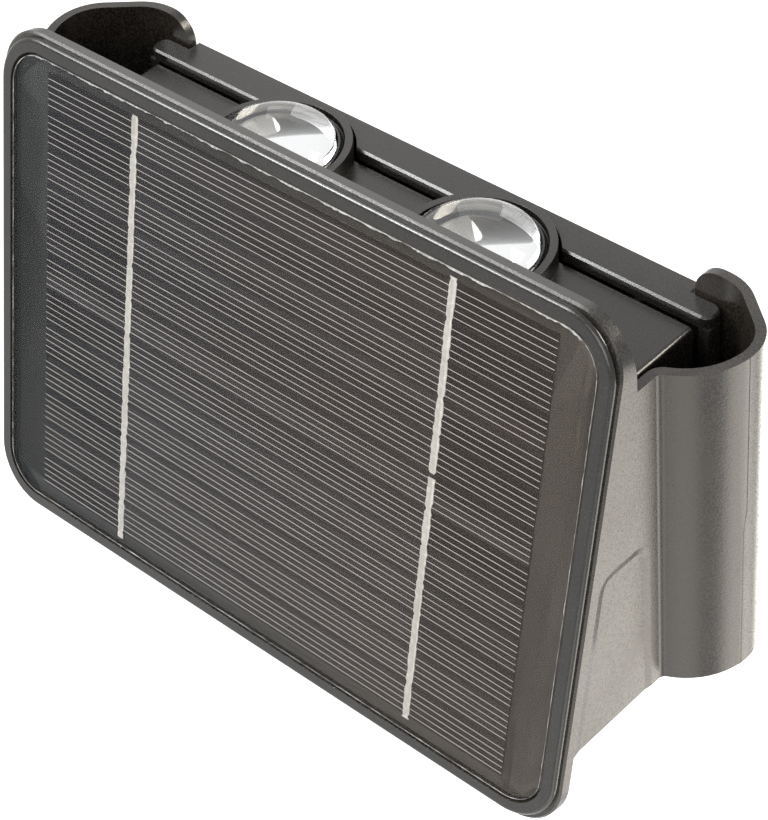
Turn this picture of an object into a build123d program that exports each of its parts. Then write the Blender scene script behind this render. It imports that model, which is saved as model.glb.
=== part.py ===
"""Solar fence light that hangs on a screwed wall bracket.

A leaning front frame carries the solar panel. The same moulding runs back as two side walls, and
each wall ends in a hollow C-shaped ear that slides down over one edge of the wall bracket. A sealed
case behind the panel holds the battery and the electronics. Two lens pods stand up out of its top.

Millimetres. +X is the viewer's right, -Y points out from the wall to the viewer, +Z is up. The
origin lies on the wall, midway between the bracket's four screw holes.
"""
import os
from math import acos, asin, cos, degrees, pi, radians, sin, tan

from build123d import *

# ------------------------------------------------------------------ driving dimensions
# Front frame, the leaning slab round the solar panel
frame_width = 150.0
frame_height = 105.3
frame_lean = 13.1            # degrees that the frame's top leans back
frame_stand_off = 60.8       # wall to the frame's lower front edge
frame_drop = 15.7            # frame's lower front edge below the housing's lower edge
frame_thickness = 3.8
ring_corner_radius = 11.2
ring_width = 2.7             # raised ring between the frame's edge and the panel
ring_rise = 1.3              # ring's face ahead of the flange behind it
ring_round = 0.9             # rounding of the ring's outer edge
flange_reach = 0.7           # flange stands this far outside the ring
flange_corner_radius = 10.6
flange_bevel = 0.4           # bevelled front edge of the flange
pocket_depth = 2.5           # recess that the panel is glued into

# Side walls and ears of the housing
housing_height = 73.0
housing_wall = 1.9
web_end = 33.9               # wall to the edge where the side wall steps up to the frame
ear_flare = 21.5             # degrees from the wall's direction, where the ear leaves the side wall
ear_front_radius = 14.8
ear_front_turn = 62.5        # degrees that each arc of the ear turns
ear_side_radius = 10.0
ear_side_turn = 57.0
ear_rear_length = 7.0        # straight stretch of the ear before its lip
ear_lip_radius = 11.0
lip_length = 6.0             # flat end of the ear's lip, which lies along the wall
lip_corner_radius = 5.2
wall_gap = 0.3               # ears stay this far off the wall
crease_radius = 1.5          # inside corner where the ear leaves the side wall
side_recess_depth = 0.3      # shallow recess in the lower part of each side wall
side_recess_top = 1.0        # its upper edge above the middle of the housing's height
side_recess_set_back = 4.0   # its front edge behind the ring's face
side_recess_radius = 4.0
side_recess_slope = 1.6      # width of the recess's sloping edge
side_recess_margin = 3.0     # flat wall between the recess and the crease

# Sealed case
case_inset = 8.6             # case's sides inside the side walls' outer faces
case_wall = 2.0
case_bottom_rise = 2.5       # case's underside above the housing's lower edge
case_round = 1.0             # long edges of the case
case_bevel = 0.7             # edges of its back face
gasket_thickness = 1.2
locating_rib_height = 3.0
locating_rib_wall = 1.5

# Lens pods
pod_spacing = 50.0
pod_stand_off = 16.7         # wall to the lens axes
pod_radius = 15.0
pod_wall = 1.5
pod_rise = 1.5               # pod rim above the bracket's top bar
pod_well_wall = 2.8
well_floor = 2.0
retainer_set_back = 0.4      # retaining ring's top below the pod rim
retainer_height = 2.6
retainer_width = 1.5
retainer_bevel = 0.3
lens_flange = 1.6
lens_ball_radius = 16.5      # radius of the lens's domed face
lens_skirt = 1.4             # straight side of the lens below its dome
lens_bands = 3               # conical bands that stand for the dome's curve
seal_thickness = 0.8
seal_width = 1.4
reflector_flange = 1.2
reflector_depth = 9.3
reflector_wall = 0.9
reflector_throat_radius = 3.8
reflector_bands = 3          # conical bands that stand for the bowl's curve
led_board_thickness = 1.6
led_board_radius = 11.4
led_size = 3.5
led_height = 0.9
led_dome_radius = 1.4

# Wall bracket
bar_below_ears = 6.0         # bracket's top bar below the top of the ears
bar_depth = 7.1
bar_thickness = 2.5
bar_bevel = 0.4
tongue_inset = 6.0           # bracket's edges inside the side walls' outer faces
tongue_corner_radius = 2.0
bracket_wall = 2.2
bracket_bottom_rise = 0.0    # bracket's lower edge above the housing's lower edge
shelf_depth = 15.0
shelf_half_width = 40.0
shelf_gap = 0.3              # case's underside above the bracket's shelf
floor_below_bar = 2.3        # case's top below the bracket's top bar
hole_spacing_x = 100.0
hole_spacing_z = 32.0
hole_radius = 2.25
hole_pad_radius = 6.0
hole_pad_rise = 1.0

# Solar panel
panel_gap = 0.6              # round the panel's edge in its pocket
panel_board_thickness = 1.0
panel_glue_thickness = 0.3
panel_glue_width = 6.0
panel_cover_thickness = 0.6  # clear cast layer over the board
cell_side_margin = 9.2       # bare board beside the cell strips
cell_end_margin = 2.55       # bare board above and below them
cell_count = 12
cell_slot = 0.25             # bare board between two cells
cell_thickness = 0.2
ribbon_spacing = 78.0
ribbon_width = 1.5
ribbon_thickness = 0.12
ribbon_break = 0.35

# Battery, holder and contacts
cell_radius = 9.1
cell_length = 65.0
cell_end_chamfer = 0.6
cap_radius = 2.8
cap_rise = 1.0
holder_gap = 0.5             # between the battery holder and the case's back wall
holder_base = 1.6
holder_end = 2.0
holder_end_rise = 5.4        # end walls above the battery's axis
contact_thickness = 0.4
contact_width = 10.0
contact_height = 13.0
contact_spring = 2.4         # bow of the sprung contact

# Control board
board_width = 48.0
board_height = 18.0
board_thickness = 1.6
board_post_rise = 3.0
board_post_radius = 2.6
board_drop = 26.0            # board's centre below the case's top
chip_width = 5.0
chip_height = 4.0
chip_thickness = 1.4
chip_stand_off = 0.2
chip_lead_pitch = 1.27
chip_lead_count = 4          # on each side
chip_lead_width = 0.4
chip_lead_reach = 1.0
chip_lead_thickness = 0.8
part_inset = 13.0            # choke and capacitor inside the board's ends
choke_radius = 3.5
choke_core_radius = 2.6
choke_height = 4.5
choke_flange = 0.9
capacitor_radius = 3.15
capacitor_height = 7.7
capacitor_bevel = 0.5

# Push switch in the case's underside
switch_inset = 19.6          # switch inside the case's side
switch_gap = 0.6             # between the switch's cage and the battery holder
button_radius = 2.8
button_proud = 1.8
button_bevel = 0.6
button_travel = 1.5
button_stem_radius = 1.2
switch_size = 8.5
switch_height = 8.0
switch_tag_height = 3.0
switch_tag_width = 1.0
switch_tag_thickness = 0.5
switch_seal_thickness = 1.0
switch_seal_width = 1.2
switch_cage_wall = 1.5

# Screws
case_screw_radius = 1.5
case_screw_head_radius = 2.8
case_screw_head = 2.0
case_screw_length = 12.0
screw_slot = 0.7             # width of the cross slots in the screws' heads
case_screw_inset = 7.6       # screws inside the case's sides
case_screw_low = 9.5         # lower screws above the housing's lower edge
case_screw_high = 9.5        # upper screws below the case's top
screw_pad_radius = 4.6
screw_pad_depth = 2.4
boss_radius = 3.4
small_screw_radius = 1.0
small_screw_head_radius = 1.9
small_screw_head = 1.2
small_screw_length = 4.0
small_boss_radius = 2.6
led_screw_offset = 9.4       # from the lens axis

# Wires
wire_radius = 0.7
wire_hole_radius = 1.6
wire_sides = 6               # facets round a wire
bend_share = 0.45            # of the shorter run beside a corner, that its bend may use
lead_run = 8.0               # straight stretch before a lead turns
lead_offset = 30.0           # centre plane to the hole that the panel's leads come through
pad_row = 5.0                # solder pads above or below the board's centre
switch_pad_row = 3.2
panel_pad_inset = 7.2        # pads of each pair of leads inside the board's ends
battery_pad_inset = 12.0
outer_pad_inset = 2.0
led_wire_offset = 8.2        # from the lens axis

# Clearances
running_gap = 0.05
slide_gap = 0.3              # between the bracket and the ears' lips
side_gap = 0.6               # lip ends and pods beside the bracket
assembly_gap = 0.1           # pieces that are placed by hand
thread_gap = 0.05

# ------------------------------------------------------------------ derived places
lean = radians(frame_lean)
housing_bottom = -housing_height / 2
housing_top = housing_height / 2
side = frame_width / 2 + flange_reach
tongue_half_width = side - tongue_inset
bar_top = housing_top - bar_below_ears
case_top = bar_top - floor_below_bar
case_bottom = housing_bottom + case_bottom_rise
case_half_width = side - case_inset
case_stand_off = bar_depth + slide_gap
pod_rim = bar_top + pod_rise
pod_sides = (-pod_spacing / 2, pod_spacing / 2)
lip_front = wall_gap + housing_wall
tongue_back = lip_front + slide_gap

# Lens pod levels, from the rim down
pod_bore_radius = pod_radius - pod_wall
lens_radius = pod_bore_radius - retainer_width - assembly_gap
retainer_top = pod_rim - retainer_set_back
lens_flange_top = retainer_top - retainer_height
seal_top = lens_flange_top - lens_flange
reflector_top = seal_top - seal_thickness
ledge_z = reflector_top - reflector_flange
led_board_top = reflector_top - reflector_depth
well_bottom = led_board_top - led_board_thickness - well_floor
well_radius = pod_radius - pod_well_wall

# Frame plane: local z = 0 on the ring's face, local x and y along the panel, centred on it
front = Plane(
    origin=(
        0,
        -frame_stand_off + frame_height / 2 * sin(lean),
        housing_bottom - frame_drop + frame_height / 2 * cos(lean),
    ),
    x_dir=(1, 0, 0),
    z_dir=(0, -cos(lean), sin(lean)),
)
reach = 2 * (frame_width + frame_height)


# ------------------------------------------------------------------ helpers
def slab(width, height, corner, near, far):
    """Rounded plate in the frame's own plane, between two depths behind the ring's face."""
    outline = RectangleRounded(width, height, corner)
    return extrude(Pos(0, 0, -far) * outline, amount=far - near)


def behind(depth):
    """Everything behind the frame plane at a depth, to trim what ends against the frame."""
    return front * Pos(0, 0, -depth - reach / 2) * Box(reach, reach, reach)


def block(x, y, z):
    """Box from three (low, high) pairs."""
    centre = [(low + high) / 2 for low, high in (x, y, z)]
    size = [high - low for low, high in (x, y, z)]
    return Pos(*centre) * Box(*size)


def post(radius, x, y, low, high):
    """Upright cylinder between two heights."""
    return Pos(x, y, (low + high) / 2) * Cylinder(radius, high - low)


def bar_along_y(radius, x, z, low, high):
    """Cylinder pointing at the wall, between two Y places."""
    return Pos(x, (low + high) / 2, z) * Rot(90, 0, 0) * Cylinder(radius, high - low)


def ring_post(outer, inner, x, y, low, high):
    """Upright tube between two heights."""
    return post(outer, x, y, low, high) - post(inner, x, y, low, high)


def flat_screw(radius, head_radius, head, length):
    """Cross-slotted screw along -Z, its head resting on z = 0."""
    screw = Pos(0, 0, -length / 2) * Cylinder(radius, length)
    screw += Pos(0, 0, head / 2) * Cylinder(head_radius, head)
    slot = Box(head_radius, screw_slot, head) + Box(screw_slot, head_radius, head)
    return screw - Pos(0, 0, head) * slot


def wire(*points):
    """Wire through a route, with bends as large as its runs allow."""
    bends = [bend_radius(*points[i - 1:i + 2]) for i in range(1, len(points) - 1)]
    route = FilletPolyline(*points, radius=bends)
    section = Plane(origin=route @ 0, z_dir=route % 0) * RegularPolygon(wire_radius, wire_sides)
    return sweep(section, path=route)


def bend_radius(before, corner, after):
    """Largest bend that uses under half of the shorter run beside a corner."""
    first = Vector(*corner) - Vector(*before)
    second = Vector(*after) - Vector(*corner)
    half_turn = radians(first.get_angle(second)) / 2
    return bend_share * min(first.length, second.length) * cos(half_turn) / sin(half_turn)


def both_sides(shape):
    """The shape and its mirror image across the centre plane."""
    return shape + mirror(shape, Plane.YZ)


# ------------------------------------------------------------------ housing: frame, side walls, ears
ear_bends = (
    # radius, degrees turned, straight stretch that follows
    (ear_front_radius, ear_front_turn, 0),
    (ear_side_radius, ear_side_turn, ear_rear_length),
    (ear_lip_radius, 180 - ear_flare - ear_front_turn - ear_side_turn, lip_length),
)


def ear_reach():
    """How far the ear runs in X and Y, from the crease to the end of its lip."""
    across, along, heading = 0, 0, ear_flare
    for radius, turn, straight in ear_bends:
        before, after = radians(heading), radians(heading + turn)
        across += radius * (sin(after) - sin(before)) + straight * cos(after)
        along += radius * (cos(before) - cos(after)) + straight * sin(after)
        heading += turn
    return across, along


ear_width, ear_depth = ear_reach()
lip_end = side + ear_width
crease_y = -wall_gap - ear_depth
ear_centre_x = side - ear_front_radius * sin(radians(ear_flare))
ear_centre_y = crease_y + ear_front_radius * cos(radians(ear_flare))


def ear_path(inset):
    """Edges of the right ear seen from above, at a distance inside its outer face."""
    wall_x = side - inset
    heading = degrees(asin((wall_x - ear_centre_x) / (ear_front_radius - inset)))
    start = (wall_x, ear_centre_y - (ear_front_radius - inset) * cos(radians(heading)))
    path = [Line((wall_x, -frame_stand_off), start)]
    end_heading = ear_flare
    for radius, turn, straight in ear_bends:
        end_heading += turn
        tangent = (cos(radians(heading)), sin(radians(heading)))
        path.append(JernArc(path[-1] @ 1, tangent, radius - inset, end_heading - heading))
        heading = end_heading
        if straight:
            onward = Vector(cos(radians(heading)), sin(radians(heading))) * straight
            path.append(Line(path[-1] @ 1, path[-1] @ 1 + onward))
    return path


def housing_side():
    """Right side wall with its ear, and the web that carries the wall up to the frame."""
    outer = ear_path(0)
    inner = ear_path(housing_wall)
    ends = [Line(outer[0] @ 0, inner[0] @ 0), Line(outer[-1] @ 1, inner[-1] @ 1)]
    wall = extrude(Pos(0, 0, housing_bottom) * make_face(outer + inner + ends), amount=housing_height)
    for path, radius in ((outer, crease_radius), (inner, crease_radius + housing_wall)):
        crease = wall.edges().filter_by(Axis.Z).sort_by_distance(path[0] @ 1)[0]
        wall = fillet(crease, radius)
    lip_corners = wall.edges().filter_by(Axis.Y).group_by(Axis.X)[0]
    wall = fillet(lip_corners, lip_corner_radius)
    web = block((side - housing_wall, side), (-frame_stand_off, -web_end), (0, frame_height))
    outline = front * slab(frame_width + 2 * flange_reach, frame_height + 2 * flange_reach,
                           flange_corner_radius, 0, reach)
    return wall + (web & outline)


def side_recess():
    """Shallow recess in the lower part of the right side wall, with sloping edges."""
    rear = crease_y - side_recess_margin
    ahead = front.from_local_coords(Vector(0, 0, -side_recess_set_back))
    ahead_top, ahead_foot = (ahead.Y + (z - ahead.Z) * tan(lean) for z in (side_recess_top, -frame_height))
    outline = Polyline((rear, -frame_height), (rear, side_recess_top), (ahead_top, side_recess_top),
                       (ahead_foot, -frame_height), close=True)
    face = make_face(outline)
    face = fillet(face.vertices().group_by(Axis.Y)[-1], side_recess_radius)
    cut = extrude(Plane.YZ.offset(side - side_recess_depth) * face, amount=2 * side_recess_depth)
    floor = cut.faces().sort_by(Axis.X)[0]
    return chamfer(floor.edges(), side_recess_slope, side_recess_depth, reference=floor)


def housing_frame():
    """Leaning slab with its raised ring and the pocket for the panel."""
    ring = slab(frame_width, frame_height, ring_corner_radius, 0, ring_rise)
    ring = fillet(ring.faces().sort_by(Axis.Z)[-1].edges(), ring_round)
    flange = slab(frame_width + 2 * flange_reach, frame_height + 2 * flange_reach,
                  flange_corner_radius, ring_rise, frame_thickness)
    flange = chamfer(flange.faces().sort_by(Axis.Z)[-1].edges(), flange_bevel)
    pocket = slab(frame_width - 2 * ring_width, frame_height - 2 * ring_width,
                  ring_corner_radius - ring_width, 0, pocket_depth)
    return front * (ring + flange - pocket)


def case_screw_places():
    """X and Z of the four screws that close the case."""
    heights = (housing_bottom + case_screw_low, case_top - case_screw_high)
    offset_x = case_half_width - case_screw_inset
    return [(x, z) for x in (-offset_x, offset_x) for z in heights]


boss_end = -case_stand_off - case_wall - screw_pad_depth


def housing():
    """Whole front moulding, with the bosses and the rib that hold the case."""
    sides = both_sides(housing_side()) & behind(ring_rise + flange_bevel)
    body = housing_frame() + sides
    inside = case_half_width - case_wall - assembly_gap
    low = case_bottom + case_wall + assembly_gap
    high = case_top - case_wall - assembly_gap
    rib = block((-inside, inside), (-reach, 0), (low, high))
    rib -= block((-inside + locating_rib_wall, inside - locating_rib_wall), (-reach, 0),
                 (low + locating_rib_wall, high - locating_rib_wall))
    rib_zone = behind(frame_thickness - assembly_gap) - behind(frame_thickness + locating_rib_height)
    body += rib & rib_zone
    for x, z in case_screw_places():
        boss = bar_along_y(boss_radius, x, z, -reach / 2, boss_end)
        body += boss & behind(frame_thickness - assembly_gap)
        pilot = case_screw_length - case_screw_head
        body -= bar_along_y(case_screw_radius + thread_gap, x, z, boss_end - pilot, boss_end)
    body -= front * post(wire_hole_radius, lead_offset, 0, -frame_thickness, 0)
    return body - both_sides(side_recess())


# ------------------------------------------------------------------ sealed case
def case_block(inset, ahead, back):
    """Box of the case, set in by a wall, from ahead of the frame to a Y place at the back."""
    return block((-case_half_width + inset, case_half_width - inset), (-ahead, back),
                 (case_bottom + inset, case_top - inset))


def rear_case():
    """Open-fronted case with its two pods, screw pads, board posts and switch hole."""
    outer = case_block(0, reach, -case_stand_off)
    long_edges = outer.edges().filter_by(Axis.Y)
    outer = fillet(long_edges, case_round)
    outer = chamfer(outer.faces().sort_by(Axis.Y)[-1].edges(), case_bevel)
    body = outer
    for x in pod_sides:
        body += post(pod_radius, x, -pod_stand_off, well_bottom, pod_rim)
    inner = case_block(case_wall, reach, -case_stand_off - case_wall)
    for x in pod_sides:
        inner -= post(pod_radius, x, -pod_stand_off, well_bottom, pod_rim)
    for x, z in case_screw_places():
        inner -= bar_along_y(screw_pad_radius, x, z, boss_end, -case_stand_off)
    for x in board_post_places():
        inner -= bar_along_y(board_post_radius, x, board_z, board_back, -case_stand_off)
    inner -= switch_cage()
    body -= inner
    for x in pod_sides:
        body -= post(pod_bore_radius, x, -pod_stand_off, ledge_z, pod_rim)
        body -= post(well_radius, x, -pod_stand_off, well_bottom + well_floor, pod_rim)
        body -= post(wire_hole_radius, x, -pod_stand_off - led_wire_offset, well_bottom, pod_rim)
        for screw_x in (x - led_screw_offset, x + led_screw_offset):
            body -= post(small_screw_radius + thread_gap, screw_x, -pod_stand_off, well_bottom, pod_rim)
    for x, z in case_screw_places():
        body -= bar_along_y(case_screw_radius + assembly_gap, x, z, boss_end, 0)
        body -= bar_along_y(case_screw_head_radius + assembly_gap, x, z,
                            -case_stand_off - case_screw_head, 0)
    for x in board_post_places():
        body -= bar_along_y(small_screw_radius + thread_gap, x, board_z, board_back,
                            -case_stand_off - case_wall / 2)
    body -= post(button_radius + running_gap, switch_x, -switch_stand_off, case_bottom, 0)
    for x in holder_screw_places():
        body -= post(small_screw_radius + thread_gap, x, -battery_stand_off, case_bottom + case_wall / 2, 0)
    return body & behind(frame_thickness + gasket_thickness)


def case_gasket():
    """Foam gasket between the case's front rim and the back of the frame."""
    ring = case_block(0, reach, 0) - case_block(case_wall, reach, 0)
    return ring & (behind(frame_thickness) - behind(frame_thickness + gasket_thickness))


def case_screws():
    """Four screws from the back of the case into the housing's bosses."""
    screws = []
    for x, z in case_screw_places():
        screw = flat_screw(case_screw_radius, case_screw_head_radius, case_screw_head, case_screw_length)
        screws.append(Pos(x, -case_stand_off - case_screw_head, z) * Rot(-90, 0, 0) * screw)
    return screws


# ------------------------------------------------------------------ lens pods
def lens(x):
    """Clear flat-backed lens: domed face, straight skirt and the flange that the ring holds down."""
    skirt_top = retainer_top + lens_skirt
    edge_angle = acos(lens_radius / lens_ball_radius)
    ball_centre = skirt_top - lens_ball_radius * sin(edge_angle)
    angles = [edge_angle + (pi / 2 - edge_angle) * i / lens_bands for i in range(lens_bands + 1)]
    dome = [(lens_ball_radius * cos(a), 0, ball_centre + lens_ball_radius * sin(a)) for a in angles]
    outer = pod_bore_radius - assembly_gap
    profile = Polyline((0, 0, seal_top), (outer, 0, seal_top), (outer, 0, lens_flange_top),
                       (lens_radius, 0, lens_flange_top), *dome, close=True)
    return Pos(x, -pod_stand_off, 0) * revolve(make_face(profile), Axis.Z)


def lens_retainer(x):
    """Black ring pressed into the pod over the lens flange, bevelled round its inner edge."""
    ring = ring_post(pod_bore_radius - assembly_gap, pod_bore_radius - retainer_width, x, -pod_stand_off,
                     lens_flange_top, retainer_top)
    top_edges = ring.edges().filter_by(GeomType.CIRCLE).group_by(Axis.Z)[-1]
    return chamfer(top_edges.sort_by(SortBy.RADIUS)[0], retainer_bevel)


def lens_seal(x):
    """Flat silicone ring under the lens flange."""
    outer = pod_bore_radius - assembly_gap
    return ring_post(outer, outer - seal_width, x, -pod_stand_off, reflector_top, seal_top)


def reflector(x):
    """Plated cup: a flange on the pod's ledge and a curved bowl down to the emitter."""
    mouth = well_radius - assembly_gap - reflector_wall
    bowl = []
    for i in range(reflector_bands + 1):
        share = i / reflector_bands
        radius = reflector_throat_radius + (mouth - reflector_throat_radius) * share
        bowl.append((radius, 0, led_board_top + reflector_depth * share ** 2))
    shell = [(radius + reflector_wall, y, z) for radius, y, z in reversed(bowl[:-1])]
    outer = pod_bore_radius - assembly_gap
    profile = Polyline(*bowl, (outer, 0, reflector_top), (outer, 0, ledge_z),
                       (mouth + reflector_wall, 0, ledge_z), *shell, close=True)
    return Pos(x, -pod_stand_off, 0) * revolve(make_face(profile), Axis.Z)


def led_board(x):
    """Round aluminium-backed board that carries one emitter."""
    low = led_board_top - led_board_thickness
    board = post(led_board_radius, x, -pod_stand_off, low, led_board_top)
    for screw_x in (x - led_screw_offset, x + led_screw_offset):
        board -= post(small_screw_radius + assembly_gap, screw_x, -pod_stand_off, low, led_board_top)
    return board - post(wire_hole_radius, x, -pod_stand_off - led_wire_offset, low, led_board_top)


def led_emitter(x):
    """Square emitter body with its clear dome."""
    body = Pos(x, -pod_stand_off, led_board_top + led_height / 2) * Box(led_size, led_size, led_height)
    dome = Pos(x, -pod_stand_off, led_board_top + led_height) * Sphere(led_dome_radius)
    return body + (dome & post(led_size, x, -pod_stand_off, led_board_top, led_board_top + led_size))


def led_screws():
    """Two screws down through each LED board."""
    screw = flat_screw(small_screw_radius, small_screw_head_radius, small_screw_head,
                      led_board_thickness + well_floor)
    places = [(x + offset) for x in pod_sides for offset in (-led_screw_offset, led_screw_offset)]
    return [Pos(x, -pod_stand_off, led_board_top) * screw for x in places]


# ------------------------------------------------------------------ solar panel
panel_width = frame_width - 2 * ring_width - 2 * panel_gap
panel_height = frame_height - 2 * ring_width - 2 * panel_gap
panel_corner = ring_corner_radius - ring_width - panel_gap
panel_board_back = pocket_depth - panel_glue_thickness
panel_board_face = panel_board_back - panel_board_thickness
cell_face = panel_board_face - cell_thickness
cell_width = panel_width - 2 * cell_side_margin
cell_pitch = (panel_height - 2 * cell_end_margin) / cell_count


def cell_centres():
    """Local y of each cell strip, from the bottom up."""
    return [(i - (cell_count - 1) / 2) * cell_pitch for i in range(cell_count)]


def solar_cells():
    """Dark cell strips, side by side on the board."""
    strip = Box(cell_width, cell_pitch - cell_slot, cell_thickness)
    depth = cell_face + cell_thickness / 2
    return [front * Pos(0, y, -depth) * strip for y in cell_centres()]


def cell_ribbons():
    """Tinned ribbons soldered along the cells, one short length to each strip."""
    piece = Box(ribbon_width, cell_pitch - ribbon_break, ribbon_thickness)
    depth = cell_face - ribbon_thickness / 2
    places = [(x, y) for x in (-ribbon_spacing / 2, ribbon_spacing / 2) for y in cell_centres()]
    return [front * Pos(x, y, -depth) * piece for x, y in places]


def panel_board():
    """Black backing board of the panel, with the holes that its leads come through."""
    board = slab(panel_width, panel_height, panel_corner, panel_board_face, panel_board_back)
    return front * (board - post(wire_hole_radius, lead_offset, 0, -panel_board_back, -panel_board_face))


def panel_cover():
    """Clear layer cast over the board and round the cells."""
    cover = slab(panel_width, panel_height, panel_corner,
                 panel_board_face - panel_cover_thickness, panel_board_face)
    cells = Box(cell_width, cell_count * cell_pitch, cell_thickness)
    cover -= Pos(0, 0, -(cell_face + cell_thickness / 2)) * cells
    for x in (-ribbon_spacing / 2, ribbon_spacing / 2):
        depth = cell_face - ribbon_thickness / 2
        cover -= Pos(x, 0, -depth) * Box(ribbon_width, cell_count * cell_pitch, ribbon_thickness)
    return front * cover


def panel_glue():
    """Bead of sealant that holds the board in its pocket."""
    outer = slab(panel_width, panel_height, panel_corner, panel_board_back, pocket_depth)
    inner = slab(panel_width - 2 * panel_glue_width, panel_height - 2 * panel_glue_width,
                 panel_corner / 2, panel_board_back, pocket_depth)
    return front * (outer - inner)


# ------------------------------------------------------------------ battery
battery_z = case_bottom + case_wall + holder_base + assembly_gap + cell_radius
contact_space = contact_spring + contact_thickness
holder_half = cell_length / 2 + cap_rise + contact_space + assembly_gap
holder_half_depth = cell_radius + assembly_gap + holder_end
holder_floor = case_bottom + case_wall
battery_stand_off = case_stand_off + case_wall + holder_gap + holder_half_depth


def holder_screw_places():
    """X of the two screws through the holder's end tabs."""
    offset_x = holder_half + holder_end + small_boss_radius
    return (-offset_x, offset_x)


def battery_cell():
    """Cylindrical cell lying along X, positive cap to the right."""
    body = Rot(0, 90, 0) * Cylinder(cell_radius, cell_length)
    body = chamfer(body.edges().filter_by(GeomType.CIRCLE), cell_end_chamfer)
    cap = Pos(cell_length / 2 + cap_rise / 2, 0, 0) * Rot(0, 90, 0) * Cylinder(cap_radius, cap_rise)
    return Pos(0, -battery_stand_off, battery_z) * (body + cap)


def battery_holder():
    """Open cradle with end walls, rails beside the cell and a screw tab at each end."""
    half_depth = holder_half_depth
    length = holder_half + holder_end
    top = battery_z + holder_end_rise
    body = block((-length, length), (-half_depth, half_depth), (holder_floor, battery_z))
    body -= block((-holder_half, holder_half), (-half_depth + holder_end, half_depth - holder_end),
                  (holder_floor + holder_base, battery_z))
    for sign in (-1, 1):
        edge = sorted((sign * holder_half, sign * length))
        body += block(edge, (-half_depth, half_depth), (holder_floor, top))
        tab = sorted((sign * length, sign * (length + 2 * small_boss_radius)))
        body += block(tab, (-small_boss_radius, small_boss_radius),
                      (holder_floor, holder_floor + holder_base))
    body = Pos(0, -battery_stand_off, 0) * body
    for x in holder_screw_places():
        body -= post(small_screw_radius + assembly_gap, x, -battery_stand_off, holder_floor, battery_z)
    return body


def positive_contact():
    """Flat nickel plate at the cap end."""
    plate = block((holder_half - contact_thickness, holder_half), (-contact_width / 2, contact_width / 2),
                  (-contact_height / 2, contact_height / 2))
    return Pos(0, -battery_stand_off, battery_z) * plate


def negative_contact():
    """Sprung nickel leaf at the flat end, bowed towards the cell."""
    back = -holder_half
    bow = contact_spring
    arc = ThreePointArc((back, 0, -contact_height / 2), (back + bow, 0, 0), (back, 0, contact_height / 2))
    inner = ThreePointArc((back + contact_thickness, 0, -contact_height / 2),
                          (back + bow + contact_thickness, 0, 0),
                          (back + contact_thickness, 0, contact_height / 2))
    ends = [Line(arc @ 0, inner @ 0), Line(arc @ 1, inner @ 1)]
    leaf = extrude(make_face([arc, inner] + ends), amount=contact_width / 2, both=True)
    return Pos(0, -battery_stand_off, battery_z) * leaf


def holder_screws():
    """Two screws that hold the cradle down."""
    screw = flat_screw(small_screw_radius, small_screw_head_radius, small_screw_head,
                      holder_base + case_wall / 2)
    return [Pos(x, -battery_stand_off, holder_floor + holder_base) * screw for x in holder_screw_places()]


# ------------------------------------------------------------------ control board
board_z = case_top - board_drop
board_back = -case_stand_off - case_wall - board_post_rise
board_face = board_back - board_thickness


def board_post_places():
    """X of the two posts on the case's back wall that carry the board."""
    offset = board_width / 2 - board_post_radius
    return (-offset, offset)


def control_board():
    """Upright circuit board in front of the case's back wall."""
    board = block((-board_width / 2, board_width / 2), (board_face, board_back),
                  (board_z - board_height / 2, board_z + board_height / 2))
    for x in board_post_places():
        board -= bar_along_y(small_screw_radius + assembly_gap, x, board_z, board_face, board_back)
    return board


def board_screws():
    """Two screws through the board into its posts."""
    screw = flat_screw(small_screw_radius, small_screw_head_radius, small_screw_head, small_screw_length)
    return [Pos(x, board_face, board_z) * Rot(90, 0, 0) * screw for x in board_post_places()]


def control_chip():
    """Charge controller with a row of leads along its top and bottom."""
    front_face = board_face - chip_stand_off
    body = block((-chip_width / 2, chip_width / 2), (front_face - chip_thickness, front_face),
                 (board_z - chip_height / 2, board_z + chip_height / 2))
    for i in range(chip_lead_count):
        x = (i - (chip_lead_count - 1) / 2) * chip_lead_pitch
        half = chip_height / 2 + chip_lead_reach
        body += block((x - chip_lead_width / 2, x + chip_lead_width / 2),
                      (board_face - chip_lead_thickness, board_face), (board_z - half, board_z + half))
    return body


def choke():
    """Drum-shaped choke of the LED driver, between two flanges."""
    x = board_width / 2 - part_inset
    low, high = board_face - choke_height, board_face
    drum = bar_along_y(choke_core_radius, x, board_z, low, high)
    for start in (low, high - choke_flange):
        drum += bar_along_y(choke_radius, x, board_z, start, start + choke_flange)
    return drum


def capacitor():
    """Upright aluminium capacitor."""
    x = part_inset - board_width / 2
    can = bar_along_y(capacitor_radius, x, board_z, board_face - capacitor_height, board_face)
    return chamfer(can.edges().group_by(Axis.Y)[0], capacitor_bevel)


# ------------------------------------------------------------------ push switch
switch_floor = case_bottom + case_wall
switch_bottom = switch_floor + switch_seal_thickness
switch_top = switch_bottom + switch_height
switch_x = case_half_width - switch_inset
cage_inner = switch_size / 2 + assembly_gap
cage_outer = cage_inner + switch_cage_wall
switch_stand_off = battery_stand_off + holder_half_depth + switch_gap + cage_outer


def switch_cage():
    """Walls on the case's floor that hold the switch on four sides."""
    x, y = switch_x, -switch_stand_off
    cage = block((x - cage_outer, x + cage_outer), (y - cage_outer, y + cage_outer),
                 (case_bottom, switch_bottom + switch_height / 2))
    return cage - block((x - cage_inner, x + cage_inner), (y - cage_inner, y + cage_inner),
                        (switch_floor, switch_top))


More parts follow.
